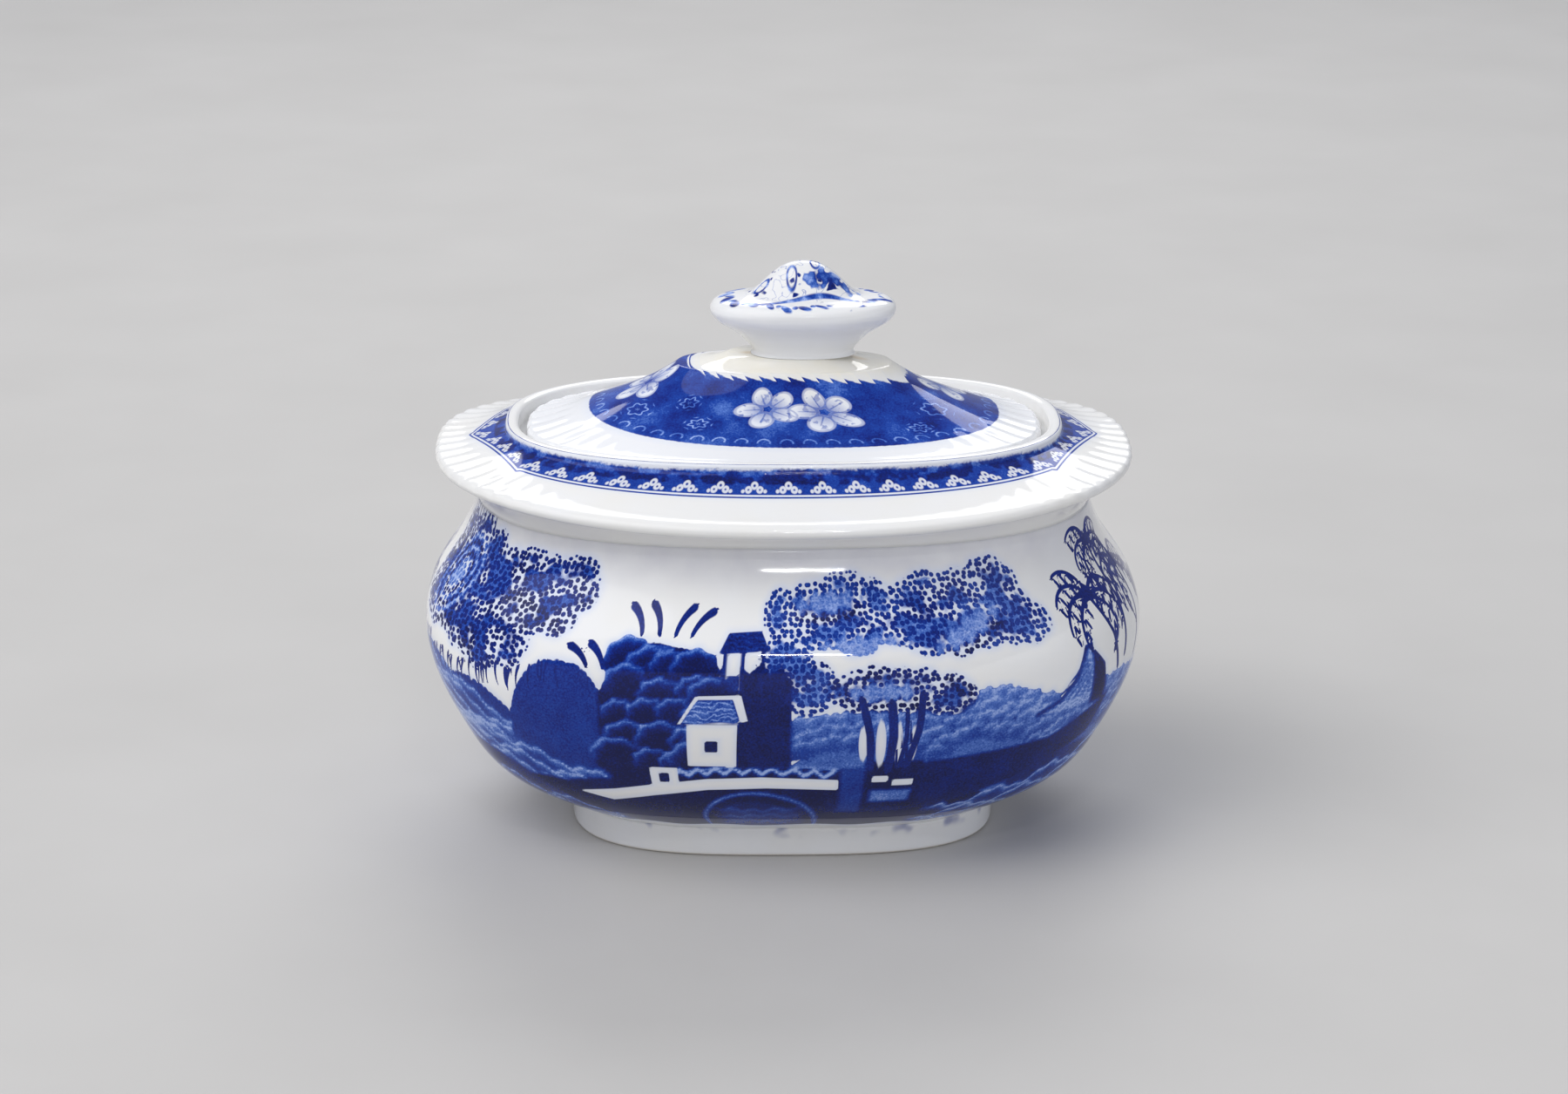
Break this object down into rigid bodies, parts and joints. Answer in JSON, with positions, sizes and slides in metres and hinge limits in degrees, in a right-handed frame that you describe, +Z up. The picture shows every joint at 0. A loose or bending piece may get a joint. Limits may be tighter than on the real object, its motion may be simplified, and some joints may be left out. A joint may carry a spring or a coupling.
{
  "type": "sugar bowl",
  "caption": "Oblong lidded sugar bowl: swelling body on a foot ring, wide sloping rim round a collared mouth, loose domed lid with a flat oblong knob.",
  "frame": {"origin": "on the table under the middle of the foot ring", "axes": "+X along the bowl's long side, -Y towards the front, +Z up"},
  "size_m": [0.1557, 0.1056, 0.1238],
  "materials": {
    "glazed_body": "clear glaze over a blue transfer print on white earthenware",
    "glazed_foot": "clear glaze on white earthenware, wiped off where it stands",
    "glazed_rim": "clear glaze over a blue printed border on white earthenware",
    "glazed_lid": "clear glaze over a blue transfer print on white earthenware",
    "glazed_knob": "clear glaze over a blue printed sprig on white earthenware"
  },
  "bodies": {
    "bowl": {"bowl_body": "glazed_body", "foot_ring": "glazed_foot", "rim_flange": "glazed_rim"},
    "lid": {"lid_cover": "glazed_lid", "knob": "glazed_knob"}
  },
  "joints": [
    {"name": "lid_lift", "type": "slide", "parent": "bowl", "child": "lid", "axis": [0, 0, 1], "range_m": [0, 0.06]}
  ]
}
